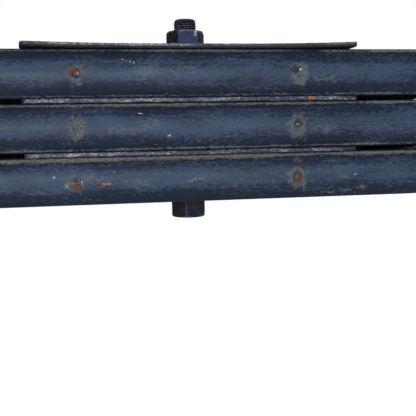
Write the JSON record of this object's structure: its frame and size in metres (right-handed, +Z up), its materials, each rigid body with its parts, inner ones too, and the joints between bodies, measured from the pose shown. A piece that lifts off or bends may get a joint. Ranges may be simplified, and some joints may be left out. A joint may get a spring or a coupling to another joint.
{
  "type": "leaf spring",
  "caption": "Taper leaf spring pack for a heavy axle: stacked steel leaves with seat liners, a centre bolt, rolled eyes with rubber bushes and rebound clips.",
  "frame": {"origin": "where the centre bolt's axis leaves the underside of the third leaf, on the axle seat", "axes": "+X from the front eye to the rear eye, +Y across the leaves, +Z up"},
  "size_m": [1.1682, 0.1074, 0.224],
  "materials": {
    "leaf_paint": "worn satin navy-black paint",
    "liner_steel": "scuffed dark steel with bright rubbed edges",
    "centre_hardware": "black oxide and paint, worn at the corners",
    "clip_paint": "worn satin navy-black paint",
    "clip_zinc": "dull zinc plating",
    "bush_steel": "turned steel tube",
    "bush_rubber": "matt black rubber",
    "pad_polymer": "matt black wear pad"
  },
  "bodies": {
    "leaf_pack": {"main_leaf": "leaf_paint", "second_leaf": "leaf_paint", "third_leaf": "leaf_paint", "top_liner": "liner_steel", "upper_liner": "liner_steel", "lower_liner": "liner_steel", "centre_bolt": "centre_hardware", "centre_nut": "centre_hardware", "front_bush_outer_sleeve": "bush_steel", "front_bush_rubber": "bush_rubber", "rear_bush_outer_sleeve": "bush_steel", "rear_bush_rubber": "bush_rubber", "front_clip_strap": "clip_paint", "front_clip_rivet": "centre_hardware", "front_clip_bolt": "clip_zinc", "front_clip_nut": "clip_zinc", "rear_clip_strap": "clip_paint", "rear_clip_rivet": "centre_hardware", "rear_clip_bolt": "clip_zinc", "rear_clip_nut": "clip_zinc", "second_leaf_front_pad": "pad_polymer", "second_leaf_rear_pad": "pad_polymer", "third_leaf_front_pad": "pad_polymer", "third_leaf_rear_pad": "pad_polymer"},
    "front_bush": {"front_bush_inner_sleeve": "bush_steel"},
    "rear_bush": {"rear_bush_inner_sleeve": "bush_steel"},
    "front_roller": {"front_clip_roller": "clip_zinc"},
    "rear_roller": {"rear_clip_roller": "clip_zinc"}
  },
  "joints": [
    {"name": "front_bush_twist", "type": "hinge", "parent": "leaf_pack", "child": "front_bush", "pos_m": [-0.54994, 0, 0.17785], "axis": [0, 1, 0], "range_deg": [-20, 20], "stiffness_Nm_per_rad": 40},
    {"name": "rear_bush_twist", "type": "hinge", "parent": "leaf_pack", "child": "rear_bush", "pos_m": [0.54994, 0, 0.17785], "axis": [0, 1, 0], "range_deg": [-20, 20], "stiffness_Nm_per_rad": 40},
    {"name": "front_roller_spin", "type": "hinge", "parent": "leaf_pack", "child": "front_roller", "pos_m": [-0.28568, 0, 0.10059], "axis": [0, 1, 0], "continuous": true},
    {"name": "rear_roller_spin", "type": "hinge", "parent": "leaf_pack", "child": "rear_roller", "pos_m": [0.28568, 0, 0.10059], "axis": [0, 1, 0], "continuous": true}
  ]
}
